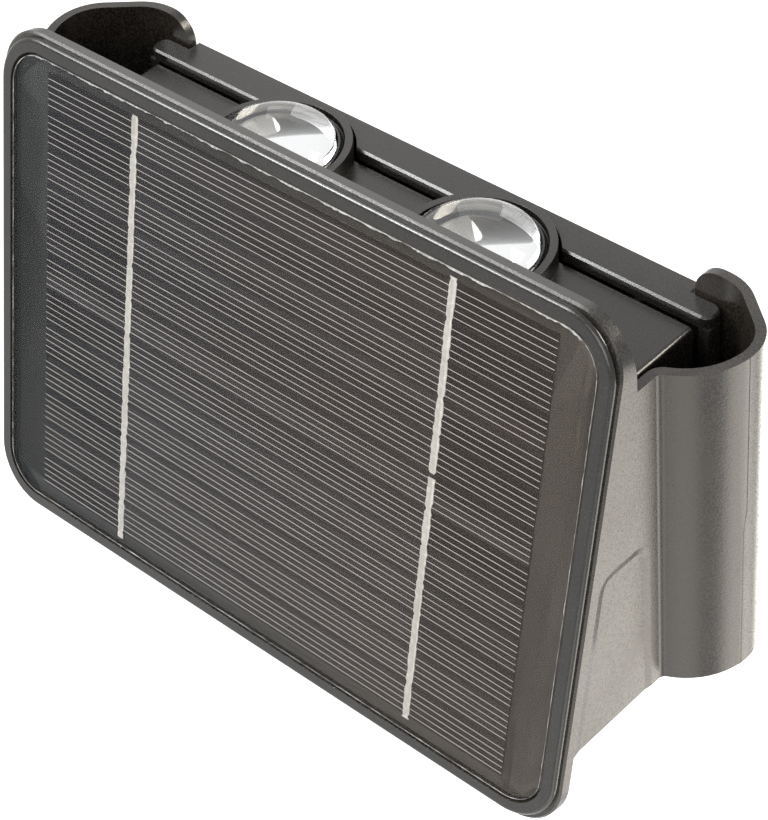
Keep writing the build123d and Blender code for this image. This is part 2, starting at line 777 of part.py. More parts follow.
def switch_body():
    """Latching push switch with a bore for the button's stem and two tags."""
    half = switch_size / 2
    x, y = switch_x, -switch_stand_off
    body = block((x - half, x + half), (y - half, y + half), (switch_bottom, switch_top))
    travel = button_travel + assembly_gap
    body -= post(button_radius + assembly_gap, x, y, switch_bottom, switch_bottom + travel)
    body -= post(button_stem_radius + running_gap, x, y, switch_bottom,
                 switch_bottom + switch_height / 2 + travel)
    for tag_x in (x - half / 2, x + half / 2):
        body += block((tag_x - switch_tag_width / 2, tag_x + switch_tag_width / 2),
                      (y - switch_tag_thickness / 2, y + switch_tag_thickness / 2),
                      (switch_top, switch_top + switch_tag_height))
    return body


def switch_seal():
    """Ring that keeps water out round the button."""
    inner = button_radius + running_gap
    return ring_post(inner + switch_seal_width, inner, switch_x, -switch_stand_off,
                     switch_floor, switch_bottom)


def push_button():
    """Round button with a bevelled face, and its stem up into the switch."""
    x, y = switch_x, -switch_stand_off
    low = case_bottom - button_proud
    cap = post(button_radius, x, y, low, switch_bottom)
    cap = chamfer(cap.faces().sort_by(Axis.Z)[0].edges(), button_bevel)
    return cap + post(button_stem_radius, x, y, switch_bottom, switch_bottom + switch_height / 2)


# ------------------------------------------------------------------ wiring
def pair(*points):
    """Two wires side by side along one route."""
    apart = wire_radius + running_gap
    return [wire(*[(x + offset, y, z) for x, y, z in points]) for offset in (-apart, apart)]


def panel_leads():
    """Pair from the solar panel's board, through the frame, to the control board."""
    start = front.from_local_coords(Vector(lead_offset, 0, -panel_board_back))
    inside = front.from_local_coords(Vector(lead_offset, 0, -frame_thickness - lead_run))
    land = (board_width / 2 - panel_pad_inset, board_face, board_z)
    turn = (land[0], board_face - lead_run, land[2])
    return pair(tuple(start), tuple(inside), turn, land)


def battery_leads():
    """One wire from the top of each battery contact to the control board."""
    leads = []
    for side_sign in (-1, 1):
        x = side_sign * (holder_half - contact_thickness / 2)
        top = battery_z + contact_height / 2
        land_x = side_sign * (board_width / 2 - battery_pad_inset)
        land_z = board_z - pad_row
        leads.append(wire((x, -battery_stand_off, top), (x, -battery_stand_off, top + lead_run / 2),
                          (land_x, board_face - lead_run / 2, land_z), (land_x, board_face, land_z)))
    return leads


def switch_leads():
    """Pair from the switch's tags to the control board."""
    tag_top = switch_top + switch_tag_height
    land_z = board_z - switch_pad_row
    leads = []
    for tag_offset in (-switch_size / 4, switch_size / 4):
        start = (switch_x + tag_offset, -switch_stand_off, tag_top)
        land_x = board_width / 2 - outer_pad_inset + tag_offset / 2
        leads.append(wire(start, (start[0], start[1], tag_top + lead_run / 2),
                          (land_x, board_face - lead_run / 2, land_z), (land_x, board_face, land_z)))
    return leads


def led_wires():
    """One twin wire from each LED board down to the control board."""
    wires = []
    for side_sign, x in zip((-1, 1), pod_sides):
        start = led_board_top - led_board_thickness / 2
        land = board_z + pad_row
        y = -pod_stand_off - led_wire_offset
        end_x = side_sign * (board_width / 2 - outer_pad_inset)
        wires.append(wire((x, y, start), (x, y, well_bottom - lead_run / 2),
                          (end_x, board_face - lead_run, land), (end_x, board_face, land)))
    return wires


# ------------------------------------------------------------------ wall bracket
plate_half_width = lip_end - side_gap


def bracket_bar():
    """Top bar of the bracket. Its ends reach into the ears, in front of their lips."""
    low = bar_top - bar_thickness
    plate = block((-tongue_half_width, tongue_half_width), (-bar_depth, -tongue_back), (low, bar_top))
    plate = fillet(plate.edges().filter_by(Axis.Z), tongue_corner_radius)
    plate += block((-plate_half_width, plate_half_width), (-bar_depth / 2, 0), (low, bar_top))
    front_edge = plate.faces().sort_by(Axis.Z)[-1].edges().group_by(Axis.Y)[0]
    return chamfer(front_edge, bar_bevel)


def bracket_edge():
    """Right edge of the bracket: a joggle forward, the tongue behind the ear's lip and a stiff rim."""
    joggle = plate_half_width - bracket_wall
    rim = tongue_half_width - bracket_wall
    step = tongue_back + bracket_wall
    section = Polyline((joggle, 0), (plate_half_width, 0), (plate_half_width, -tongue_back),
                       (tongue_half_width, -tongue_back), (tongue_half_width, -bar_depth), (rim, -bar_depth),
                       (rim, -step), (joggle, -step), close=True)
    foot = housing_bottom + bracket_bottom_rise
    edge = extrude(Pos(0, 0, foot) * make_face(section), amount=bar_top - bar_thickness - foot)
    outer_corners = edge.edges().filter_by(Axis.Z).group_by(Axis.X)[-1]
    return fillet(outer_corners.sort_by(Axis.Y)[-1], tongue_corner_radius)


def bracket():
    """Moulded wall bracket: back plate, joggled edges for the ears, top bar, shelf and screw pads."""
    foot = housing_bottom + bracket_bottom_rise
    body = bracket_bar() + both_sides(bracket_edge())
    body += block((-plate_half_width, plate_half_width), (-bracket_wall, 0),
                  (foot, bar_top - bar_thickness))
    shelf_top = case_bottom - shelf_gap
    shelf = block((-shelf_half_width, shelf_half_width), (-shelf_depth, 0),
                  (shelf_top - bracket_wall, shelf_top))
    body += fillet(shelf.edges().filter_by(Axis.Z).group_by(Axis.Y)[0], bracket_wall)
    holes = [(x, z) for x in (-hole_spacing_x / 2, hole_spacing_x / 2)
             for z in (-hole_spacing_z / 2, hole_spacing_z / 2)]
    for x, z in holes:
        body += bar_along_y(hole_pad_radius, x, z, -bracket_wall - hole_pad_rise, 0)
    for x, z in holes:
        body -= bar_along_y(hole_radius, x, z, -reach, reach)
    for x in pod_sides:
        body -= post(pod_radius + side_gap, x, -pod_stand_off, well_bottom - side_gap, pod_rim)
    return body


# ------------------------------------------------------------------ write every piece
pieces = {
    "front_housing": housing(),
    "rear_case": rear_case(),
    "case_gasket": case_gasket(),
    "case_screws": case_screws(),
    "panel_board": panel_board(),
    "panel_cover": panel_cover(),
    "panel_glue": panel_glue(),
    "solar_cells": solar_cells(),
    "cell_ribbons": cell_ribbons(),
    "battery_cell": battery_cell(),
    "battery_holder": battery_holder(),
    "positive_contact": positive_contact(),
    "negative_contact": negative_contact(),
    "holder_screws": holder_screws(),
    "control_board": control_board(),
    "board_screws": board_screws(),
    "control_chip": control_chip(),
    "choke": choke(),
    "capacitor": capacitor(),
    "switch_body": switch_body(),
    "switch_seal": switch_seal(),
    "push_button": push_button(),
    "led_wires": led_wires(),
    "panel_leads": panel_leads(),
    "battery_leads": battery_leads(),
    "switch_leads": switch_leads(),
    "led_screws": led_screws(),
    "wall_bracket": bracket(),
}
for name, x in zip(("left", "right"), pod_sides):
    pieces["lens_" + name] = lens(x)
    pieces["lens_retainer_" + name] = lens_retainer(x)
    pieces["lens_seal_" + name] = lens_seal(x)
    pieces["reflector_" + name] = reflector(x)
    pieces["led_board_" + name] = led_board(x)
    pieces["led_" + name] = led_emitter(x)

os.makedirs("parts", exist_ok=True)
for name, piece in pieces.items():
    shape = Compound(children=piece) if isinstance(piece, list) else piece
    export_step(shape, f"parts/{name}.step")
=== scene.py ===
"""Dressed model of a solar fence light on its wall bracket, in metres.

+X is the viewer's right, -Y points away from the wall to the viewer, and +Z is up.
"""
from math import cos, pi, radians, sin, sqrt

import bmesh
import bpy
from mathutils import Matrix, Vector, noise


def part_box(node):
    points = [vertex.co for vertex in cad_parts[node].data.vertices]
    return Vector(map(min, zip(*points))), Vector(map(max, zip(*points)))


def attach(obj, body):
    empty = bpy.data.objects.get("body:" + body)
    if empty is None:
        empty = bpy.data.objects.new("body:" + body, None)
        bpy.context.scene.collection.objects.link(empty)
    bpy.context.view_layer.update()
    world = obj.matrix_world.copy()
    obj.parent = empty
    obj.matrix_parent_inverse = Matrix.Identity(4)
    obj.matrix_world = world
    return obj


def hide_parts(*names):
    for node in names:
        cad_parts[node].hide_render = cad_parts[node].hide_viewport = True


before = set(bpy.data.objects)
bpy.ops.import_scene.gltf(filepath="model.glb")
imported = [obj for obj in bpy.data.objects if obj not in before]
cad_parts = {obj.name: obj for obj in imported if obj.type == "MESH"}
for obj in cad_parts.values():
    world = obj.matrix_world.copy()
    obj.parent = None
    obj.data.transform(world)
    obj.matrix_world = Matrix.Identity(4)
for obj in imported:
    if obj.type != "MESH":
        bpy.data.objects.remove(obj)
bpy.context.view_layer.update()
scene = bpy.context.scene

# ---------------------------------------------------------------- front housing
# One black ABS moulding: the panel's frame, both side walls and the hooked ears.
# It comes out of an eroded steel mould, so its faces carry a fine pebbled grain, which is
# polished off the ring, and the mould's two halves leave a parting line down each ear.
housing_edge = 0.00022          # rounding of the sharp edges
edge_steps = 3
mould_crease = radians(32)      # sharper edges than this are rounded
grain_size = 0.00042
grain_haze = 0.16               # how much duller the pale mottles are than the dark
merge_reach = 1e-6
flat_turn = radians(0.5)
recess_turn = (radians(9), radians(13))     # how far the wall turns at its recess's edges
recess_edge = 0.00035
flat_wall = 0.9999              # X part of the normal of a wall that stands square
groove_depth = 0.00012
groove_half_width = 0.00011
groove_high_y = -0.0161
groove_low_y = -0.0169
groove_jog = (-0.0030, 0.0018)  # heights between which the line steps towards the viewer
groove_zone = 0.0009            # outermost slice of an ear, which the groove lies in
jog_zone = 0.0012               # half the depth of the band that the step's two cuts go through
panel_lean = radians(13.1)
ring_foot = -0.00035            # foot of the ring, from the middle of the panel's clear cover
panel_low, panel_high = (Vector(corner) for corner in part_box("panel_cover"))
panel_axes = Matrix(((1, 0, 0), (0, sin(panel_lean), cos(panel_lean)),
                     (0, -cos(panel_lean), sin(panel_lean))))
panel_place = Matrix.Translation((panel_low + panel_high) / 2) @ panel_axes.transposed().to_4x4()
on_panel = panel_place.inverted()
surface = {"Color": "Base Color", "Roughness": "Roughness", "Normal": "Normal"}
surface_kinds = {"Color": "Color", "Roughness": "Float", "Normal": "Vector"}


def add_nodes(tree, **kinds):
    """Adds nodes to a tree, one for each name and node type."""
    return {name: tree.nodes.new("ShaderNode" + kind) for name, kind in kinds.items()}


def make_group(name, inputs, outputs, **kinds):
    """Shader group with named inputs, as (type, default), outputs and unlinked nodes."""
    group = bpy.data.node_groups.new(name, "ShaderNodeTree")
    for label, (kind, default) in inputs.items():
        socket = group.interface.new_socket(label, in_out="INPUT", socket_type="NodeSocket" + kind)
        socket.default_value = default
    for label, kind in outputs.items():
        group.interface.new_socket(label, in_out="OUTPUT", socket_type="NodeSocket" + kind)
    nodes = add_nodes(group, **kinds)
    nodes["given"] = group.nodes.new("NodeGroupInput")
    nodes["result"] = group.nodes.new("NodeGroupOutput")
    return group, nodes


def wire(tree, nodes, *routes):
    """Links nodes by name: a route reads "node.Output > node.Input", with a number for a Math input."""
    for route in routes:
        (start, output), (end, socket) = (stop.split(".") for stop in route.split(" > "))
        socket = int(socket) if socket.isdigit() else socket
        tree.links.new(nodes[start].outputs[output], nodes[end].inputs[socket])


def set_sockets(node, **values):
    """Sets the plain values of a node's sockets."""
    for socket, value in values.items():
        node.inputs[socket.replace("_", " ")].default_value = value


def wire_surface(group, nodes, colour, uneven, height):
    """Ends a surface's group: its colour, a gloss that spreads with a mask, and a bump from a height."""
    wire(group, nodes, colour + " > result.Color", uneven + " > rough.Value", height + " > bump.Height",
         "given.Gloss > haze.0", "given.Gloss > rough.To Min", "haze.Value > rough.To Max",
         "given.Depth > bump.Distance", "rough.Result > result.Roughness", "bump.Normal > result.Normal")


def eroded_grain_group():
    """Pebbled mould grain: mottled colour, uneven gloss and a fine bump, with a painted glint of pale colour
    on convex edges.
    """
    group, nodes = make_group(
        "eroded_grain",
        {"Dark": ("Color", (0, 0, 0, 1)), "Pale": ("Color", (1, 1, 1, 1)), "Grain": ("Float", 2400.0),
         "Depth": ("Float", 0.00005), "Gloss": ("Float", 0.4), "Rub": ("Float", 0.3)},
        surface_kinds, place="TexCoord", pebbles="TexNoise", cloud="TexNoise", speck="MapRange",
        patch="MapRange", mottle="Mix", both="Math", shape="NewGeometry", edge="MapRange", worn="Math",
        rubbed="Math", total="Math", haze="Math", rough="MapRange", bump="Bump")
    set_sockets(nodes["pebbles"], Detail=3.0)
    set_sockets(nodes["cloud"], Scale=60.0, Detail=5.0)
    set_sockets(nodes["speck"], From_Min=0.46, From_Max=0.72)
    set_sockets(nodes["patch"], From_Min=0.35, From_Max=0.75, To_Max=0.5)
    # Pointiness picks out convex edges, which get pale colour as a painted glint, not wear.
    set_sockets(nodes["edge"], From_Min=0.52, From_Max=0.62)
    nodes["haze"].inputs[1].default_value = grain_haze
    nodes["mottle"].data_type = "RGBA"
    for name in ("worn", "rubbed"):
        nodes[name].operation = "MULTIPLY"
    for name in ("both", "total"):
        nodes[name].use_clamp = True
    wire(group, nodes, "place.Object > pebbles.Vector", "place.Object > cloud.Vector",
         "given.Grain > pebbles.Scale", "pebbles.Fac > speck.Value", "cloud.Fac > patch.Value",
         "speck.Result > both.0", "patch.Result > both.1", "shape.Pointiness > edge.Value",
         "edge.Result > worn.0", "cloud.Fac > worn.1", "worn.Value > rubbed.0", "given.Rub > rubbed.1",
         "both.Value > total.0", "rubbed.Value > total.1", "total.Value > mottle.Factor",
         "given.Dark > mottle.A", "given.Pale > mottle.B")
    wire_surface(group, nodes, "mottle.Result", "both.Value", "pebbles.Fac")
    return group


eroded_grain = eroded_grain_group()


def new_material(name, **plain):
    """Principled material, with its even values set on the shader's own sockets."""
    material = bpy.data.materials.new(name)
    material.use_nodes = True
    set_sockets(material.node_tree.nodes["Principled BSDF"], **plain)
    return material


def place_group(material, group, **values):
    """Places a surface's group in a material, with its own values, and joins it to the shader."""
    tree = material.node_tree
    node = tree.nodes.new("ShaderNodeGroup")
    node.node_tree = group
    set_sockets(node, **values)
    for output, socket in surface.items():
        tree.links.new(node.outputs[output], tree.nodes["Principled BSDF"].inputs[socket])


def grained(name, dark, pale, depth, gloss, grain=grain_size, rub=0.3):
    """Moulded plastic or rubber with the eroded grain and a painted glint on its convex edges."""
    material = new_material(name)
    place_group(material, eroded_grain, Dark=(*dark, 1), Pale=(*pale, 1), Grain=1 / grain, Depth=depth,
                Gloss=gloss, Rub=rub)
    return material


def merged_copy(node):
    """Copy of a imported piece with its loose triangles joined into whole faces."""
    bm = bmesh.new()
    bm.from_mesh(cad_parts[node].data)
    bmesh.ops.remove_doubles(bm, verts=bm.verts, dist=merge_reach)
    bmesh.ops.dissolve_limit(bm, angle_limit=flat_turn, verts=bm.verts, edges=bm.edges)
    return bm


def round_over(bm, edges, width, steps=edge_steps):
    """Bevels edges with a round profile."""
    bmesh.ops.bevel(bm, geom=edges, offset=width, offset_type="OFFSET", segments=steps, profile=0.5,
                    affect="EDGES", clamp_overlap=True, material=-1)


def soften(bm, width, hollows=True):
    """Rounds the sharp edges of a mesh over by a small width, with or without its inside corners."""
    sharp = [edge for edge in bm.edges if edge.is_manifold and edge.calc_face_angle(0) > mould_crease
             and (hollows or edge.is_convex)]
    round_over(bm, sharp, width)
    return bm


def add_piece(name, bm, material, body, slot, *nodes):
    """Finished piece that rides on a body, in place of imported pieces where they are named."""
    mesh = bpy.data.meshes.new(name)
    bm.to_mesh(mesh)
    bm.free()
    mesh.materials.append(material)
    mesh.shade_smooth()
    mesh.set_sharp_from_angle(angle=mould_crease)
    piece = bpy.data.objects.new(name, mesh)
    scene.collection.objects.link(piece)
    piece.modifiers.new("even_flats", "WEIGHTED_NORMAL").keep_sharp = True
    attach(piece, body)
    if nodes:
        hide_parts(*nodes)
    return piece


def cut_faces(bm, faces, place, normal):
    """Cuts some faces of a mesh along a plane."""
    geom = faces + list({edge for face in faces for edge in face.edges})
    geom += list({vert for face in faces for vert in face.verts})
    bmesh.ops.bisect_plane(bm, geom=geom, dist=1e-7, plane_co=place, plane_no=normal)


def parting_line(bm, side):
    """V-shaped groove down one ear, which steps towards the viewer at mid-height."""
    limit = max(side * vert.co.x for vert in bm.verts) - groove_zone
    for offset in (-groove_half_width, 0, groove_half_width):
        ear = [face for face in bm.faces if side * face.calc_center_median().x > limit]
        cut_faces(bm, ear, (0, groove_high_y + offset, 0), (0, 1, 0))
    for height in groove_jog:
        ear = [face for face in bm.faces if side * face.calc_center_median().x > limit
               and abs(face.calc_center_median().y - groove_high_y) < jog_zone]
        cut_faces(bm, ear, (0, 0, height), (0, 0, 1))
    for vert in bm.verts:
        off_line = abs(vert.co.y - groove_high_y)
        if side * vert.co.x > limit and off_line <= groove_half_width + merge_reach:
            if off_line < merge_reach:
                vert.co.x -= side * groove_depth
            if vert.co.z < groove_jog[0] + merge_reach:
                vert.co.y += groove_low_y - groove_high_y


# Both housing plastics carry painted glints on their convex edges, strong on the walls and milder on the
# ring.
housing_plastic = grained("housing_plastic", (0.012, 0.010, 0.009), (0.050, 0.042, 0.033), 0.00003, 0.22,
                          rub=0.9)
ring_plastic = grained("ring_plastic", (0.012, 0.011, 0.010), (0.030, 0.028, 0.025), 0.000010, 0.13,
                       rub=0.5)
housing_mesh = soften(merged_copy("front_housing"), housing_edge)
recess_edges = [edge for edge in housing_mesh.edges if edge.is_manifold
                and recess_turn[0] < edge.calc_face_angle(0) < recess_turn[1]
                and any(abs(face.normal.x) > flat_wall for face in edge.link_faces)]
round_over(housing_mesh, recess_edges, recess_edge, steps=2)
for side in (-1, 1):
    parting_line(housing_mesh, side)
front_moulding = add_piece("front_moulding", housing_mesh, housing_plastic,
                           "light", "housing_black", "front_housing")
front_moulding.data.materials.append(ring_plastic)
for face in front_moulding.data.polygons:
    if (on_panel @ face.center).z > ring_foot:
        face.material_index = 1

# ---------------------------------------------------------------- rear case
# Sealed black ABS case behind the frame, closed over a foam gasket by four long screws.
# It comes from the same kind of mould, with a finer and shallower grain.
fine_grain = 0.0003
screw_edge = 0.00012
# Its convex edges carry a strong painted glint.
case_plastic = grained("case_plastic", (0.017, 0.015, 0.013), (0.040, 0.035, 0.031), 0.000012, 0.22,
                       grain=fine_grain, rub=0.9)
add_piece("case_moulding", soften(merged_copy("rear_case"), housing_edge), case_plastic,
          "light", "case_black", "rear_case")


def dress(material, *nodes):
    """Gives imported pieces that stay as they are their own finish."""
    for node in nodes:
        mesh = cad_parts[node].data
        mesh.materials.clear()
        mesh.materials.append(material)


def drawn_metal_group():
    """Metal with fine drawn lines: streaked colour and gloss, a faint bump, and blotches of the dull colour:
    stains on most metals, painted dark reflections on the plated bowl.
    """
    group, nodes = make_group(
        "drawn_metal",
        {"Bright": ("Color", (1, 1, 1, 1)), "Dull": ("Color", (0, 0, 0, 1)), "Lines": ("Float", 900.0),
         "Stretch": ("Vector", (1, 1, 1)), "Depth": ("Float", 0.00001), "Gloss": ("Float", 0.25),
         "Haze": ("Float", 0.18)},
        surface_kinds, place="TexCoord", turn="Mapping", lines="TexNoise", stain="TexNoise", shade="Mix",
        haze="Math", rough="MapRange", bump="Bump")
    set_sockets(nodes["lines"], Detail=4.0)
    set_sockets(nodes["stain"], Scale=220.0, Detail=4.0)
    nodes["shade"].data_type = "RGBA"
    wire(group, nodes, "place.Object > turn.Vector", "given.Stretch > turn.Scale",
         "turn.Vector > lines.Vector", "place.Object > stain.Vector", "given.Lines > lines.Scale",
         "stain.Fac > shade.Factor", "given.Bright > shade.A", "given.Dull > shade.B", "given.Haze > haze.1")
    wire_surface(group, nodes, "shade.Result", "lines.Fac", "lines.Fac")
    return group


drawn_metal = drawn_metal_group()


def metal(name, bright, dull, gloss, depth=0.00001, lines=900.0, stretch=(1, 1, 1), haze=0.18):
    """Metal with the drawn lines."""
    material = new_material(name, Metallic=1.0)
    place_group(material, drawn_metal, Bright=(*bright, 1), Dull=(*dull, 1), Lines=lines, Stretch=stretch,
                Depth=depth, Gloss=gloss, Haze=haze)
    return material


zinc_steel = metal("zinc_steel", (0.62, 0.62, 0.64), (0.34, 0.33, 0.33), 0.26, lines=2600.0)
add_piece("case_screw_set", soften(merged_copy("case_screws"), screw_edge), zinc_steel,
          "light", "screw_steel", "case_screws")
gasket_foam = grained("gasket_foam", (0.012, 0.012, 0.012), (0.035, 0.034, 0.033), 0.0002, 0.75,
                      grain=0.0009)
dress(gasket_foam, "case_gasket")

# ---------------------------------------------------------------- solar panel
# Twelve cell strips on a dark board under a clear satin film, two tinned ribbons across them
# and five printed silver fingers along each. The film's knife-cut edge has a pale burr, wide on the
# upper edge; its thin pale line along the other edges is a painted highlight of the film's edge.
# The panel is bedded in sealant in the frame's pocket.
film_thickness = 0.0006
film_lift = 0.00045             # film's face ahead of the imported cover, still behind the ring's
film_edge = 0.00012
film_alpha = 0.10
laminate_haze = 0.1
burr_step = 0.0005
burr_width = 0.00045
burr_rise = 0.00008
burr_lift = 0.00002
burr_pitches = (420, 1300)      # coarse and fine waves of the torn edge, per metre
burr_fine_share = 0.6
burr_top = (0.55, 1.1)          # share of the width, and how much it varies, on the upper edge
burr_rest = (0.14, 0.3)         # the same on the other edges
burr_least = 0.04
top_edge_zone = 0.001
strip_count = 12
strip_end_margin = 0.00255
finger_count = 5
finger_pitch = 0.001375
finger_from_top = 0.0015
finger_width = 0.00011
finger_rise = 0.00003
cell_level = -0.0001
ribbon_width = 0.0016
ribbon_rise = 0.00012
ribbon_step = 0.0005
ribbon_waist = 0.28             # share by which a ribbon narrows at a strip's boundary
waist_reach = 0.05
ribbon_raggedness = 0.30
ribbon_pitches = (1100, 700)    # waves of its ragged edges and of its solder, per metre
solder_level = 0.85
solder_swell = 0.3
ribbon_routes = (
    # x and height on the panel's slope of the upper and the lower end, and a break in it
    ((-0.0385, 0.0468), (-0.0392, -0.0482), None),
    ((0.0396, 0.0472), (0.0391, -0.0473), (0.0067, 0.0079)),
)

panel_facing = Vector((0, -cos(panel_lean), sin(panel_lean)))
panel_height = (panel_high.z - panel_low.z - film_thickness * sin(panel_lean)) / cos(panel_lean)
cell_low, cell_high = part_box("solar_cells")
strip_pitch = (panel_height - 2 * strip_end_margin) / strip_count


def laminate_group():
    """Dark sheet with soft bands along the strips, cool on the left and turned warm towards the right by a
    painted reflection.
    """
    group, nodes = make_group(
        "laminate",
        {"Cool": ("Color", (0, 0, 0, 1)), "Warm": ("Color", (1, 1, 1, 1)), "Bands": ("Float", 60.0),
         "Strength": ("Float", 0.2), "Depth": ("Float", 0.00001), "Gloss": ("Float", 0.2)},
        surface_kinds, place="TexCoord", turn="Mapping", slope="Mapping", bands="TexNoise",
        drift="TexGradient", centred="Math", weighed="Math", both="Math", shade="Mix", fine="TexNoise",
        haze="Math", rough="MapRange", bump="Bump")
    set_sockets(nodes["turn"], Scale=(0.06, 1, 1))
    # The slanted gradient paints a warm reflection that grows towards the right of the sheet.
    set_sockets(nodes["slope"], Location=(0.5, 0, 0), Rotation=(0, radians(10), 0), Scale=(5.5, 5.5, 5.5))
    set_sockets(nodes["fine"], Scale=2600.0, Detail=3.0)
    nodes["haze"].inputs[1].default_value = laminate_haze
    nodes["centred"].operation = "SUBTRACT"
    nodes["centred"].inputs[1].default_value = 0.5
    nodes["weighed"].operation = "MULTIPLY"
    nodes["both"].use_clamp = True
    nodes["shade"].data_type = "RGBA"
    wire(group, nodes, "place.Object > turn.Vector", "place.Object > slope.Vector",
         "place.Object > fine.Vector", "turn.Vector > bands.Vector", "slope.Vector > drift.Vector",
         "given.Bands > bands.Scale", "bands.Fac > centred.0", "centred.Value > weighed.0",
         "given.Strength > weighed.1", "drift.Fac > both.0", "weighed.Value > both.1",
         "both.Value > shade.Factor", "given.Cool > shade.A", "given.Warm > shade.B")
    wire_surface(group, nodes, "shade.Result", "fine.Fac", "fine.Fac")
    return group


laminate = laminate_group()


def laminated(name, cool, warm, gloss, depth=0.000004, bands=60.0, strength=0.4, **plain):
    """Sheet of the panel with the laminate's bands and its painted warm reflection."""
    material = new_material(name, **plain)
    place_group(material, laminate, Cool=(*cool, 1), Warm=(*warm, 1), Bands=bands, Strength=strength,
                Depth=depth, Gloss=gloss)
    return material


def foremost_face(bm):
    """Face of the panel's cover that looks out of the frame."""
    return max(bm.faces, key=lambda face: (on_panel @ face.calc_center_median()).z)


def cut_edge_burr():
    """Ragged pale lip round the film's face: wide on the upper edge as a burr, thin on the others as a
    painted highlight of the film's edge.
    """
    bm = merged_copy("panel_cover")
    front = foremost_face(bm)
    bmesh.ops.delete(bm, geom=[face for face in bm.faces if face is not front], context="FACES")
    for edge in [edge for edge in bm.edges if edge.calc_length() > 2 * burr_step]:
        bmesh.ops.subdivide_edges(bm, edges=[edge], cuts=round(edge.calc_length() / burr_step))
    bmesh.ops.transform(bm, matrix=on_panel, verts=bm.verts)
    rim = set(bm.verts)
    bmesh.ops.inset_region(bm, faces=bm.faces[:], thickness=burr_width, use_even_offset=True,
                           use_boundary=True)
    inside = max(bm.faces, key=lambda face: face.calc_area())
    bmesh.ops.delete(bm, geom=[inside], context="FACES")
    for vert in bm.verts:
        vert.co.z += film_lift + burr_lift
        if vert not in rim:
            root = next(edge.other_vert(vert) for edge in vert.link_edges if edge.other_vert(vert) in rim)
            coarse, fine = (noise.noise(root.co * pitch) for pitch in burr_pitches)
            torn = coarse + burr_fine_share * fine
            on_top = root.co.y > panel_height / 2 - top_edge_zone
            share, spread = burr_top if on_top else burr_rest
            vert.co.xy = root.co.xy.lerp(vert.co.xy, min(max(share + spread * torn, burr_least), 1.0))
    bmesh.ops.solidify(bm, geom=bm.faces[:], thickness=burr_rise)
    bmesh.ops.transform(bm, matrix=panel_place, verts=bm.verts)
    bmesh.ops.recalc_face_normals(bm, faces=bm.faces)
    return bm


# Board, cells and film all carry the painted warm reflection on their right.
dress(laminated("panel_laminate", (0.016, 0.022, 0.024), (0.085, 0.068, 0.052), 0.36), "panel_board")
dress(laminated("silicon_wafer", (0.002, 0.005, 0.013), (0.028, 0.017, 0.011), 0.30, bands=70.0,
                strength=0.35, Specular_IOR_Level=0.3), "solar_cells")
satin_film = laminated("satin_film", (0.10, 0.11, 0.12), (0.20, 0.17, 0.14), 0.14, depth=0.000008,
                       Alpha=film_alpha)
film_mesh = merged_copy("panel_cover")
bmesh.ops.translate(film_mesh, vec=panel_facing * film_lift, verts=foremost_face(film_mesh).verts)
add_piece("panel_film", soften(film_mesh, film_edge), satin_film, "light", "clear_cover", "panel_cover")
# Pale lip: a burr on the upper edge, and a painted highlight of the film's edge on the others.
burr_and_edge_highlight = grained("burr_and_edge_highlight", (0.30, 0.30, 0.30), (0.72, 0.72, 0.70), 0.0001, 0.30, grain=0.0007)
add_piece("film_edge_burr", cut_edge_burr(), burr_and_edge_highlight, "light", "clear_cover")


def panel_strip(bm, x, y, low, high):
    """Thin box on the panel, from (low, high) pairs in its own plane and a pair of levels."""
    size = Vector((x[1] - x[0], y[1] - y[0], high - low))
    centre = Vector(((x[0] + x[1]) / 2, (y[0] + y[1]) / 2, (low + high) / 2))
    place = panel_place @ Matrix.Translation(centre) @ Matrix.Diagonal((*size, 1))
    bmesh.ops.create_cube(bm, size=1, matrix=place)


fingers = bmesh.new()
for strip in range(strip_count):
    strip_top = (strip + 1 - strip_count / 2) * strip_pitch
    for finger in range(finger_count):
        middle = strip_top - finger_from_top - finger * finger_pitch
        across = (middle - finger_width / 2, middle + finger_width / 2)
        panel_strip(fingers, (cell_low[0], cell_high[0]), across, cell_level, cell_level + finger_rise)
silver_print = metal("silver_print", (0.76, 0.73, 0.68), (0.50, 0.47, 0.43), 0.45)
add_piece("silver_fingers", fingers, silver_print, "light", "ribbon")


def tinned_ribbon(bm, top, foot, gap):
    """Solder-dipped ribbon with uneven edges, thinned at each strip's boundary and torn at one gap."""
    length = top[1] - foot[1]
    steps = round(length / ribbon_step)
    made = bmesh.ops.create_grid(bm, x_segments=2, y_segments=steps, size=0.5)["verts"]
    for vert in made:
        share = vert.co.y + 0.5
        height = foot[1] + share * length
        offset = height / strip_pitch - round(height / strip_pitch)
        waist = ribbon_waist if abs(offset) < waist_reach else 0.0
        # The last two coordinates set its two edges, and the two ribbons, apart.
        ragged = noise.noise(Vector((height * ribbon_pitches[0], vert.co.x * 7, top[0] * 50)))
        swell = noise.noise(Vector((height * ribbon_pitches[1], vert.co.x * 3, 1)))
        across = vert.co.x * ribbon_width * (1 - waist + ribbon_raggedness * ragged)
        level = cell_level + ribbon_rise * (solder_level + solder_swell * swell)
        vert.co = (foot[0] + share * (top[0] - foot[0]) + across, height, level)
    if gap:
        torn = [face for face in bm.faces if face.verts[0] in made
                and gap[0] < face.calc_center_median().y < gap[1]
                and abs(face.calc_center_median().x - top[0]) < ribbon_width]
        bmesh.ops.delete(bm, geom=torn, context="FACES")


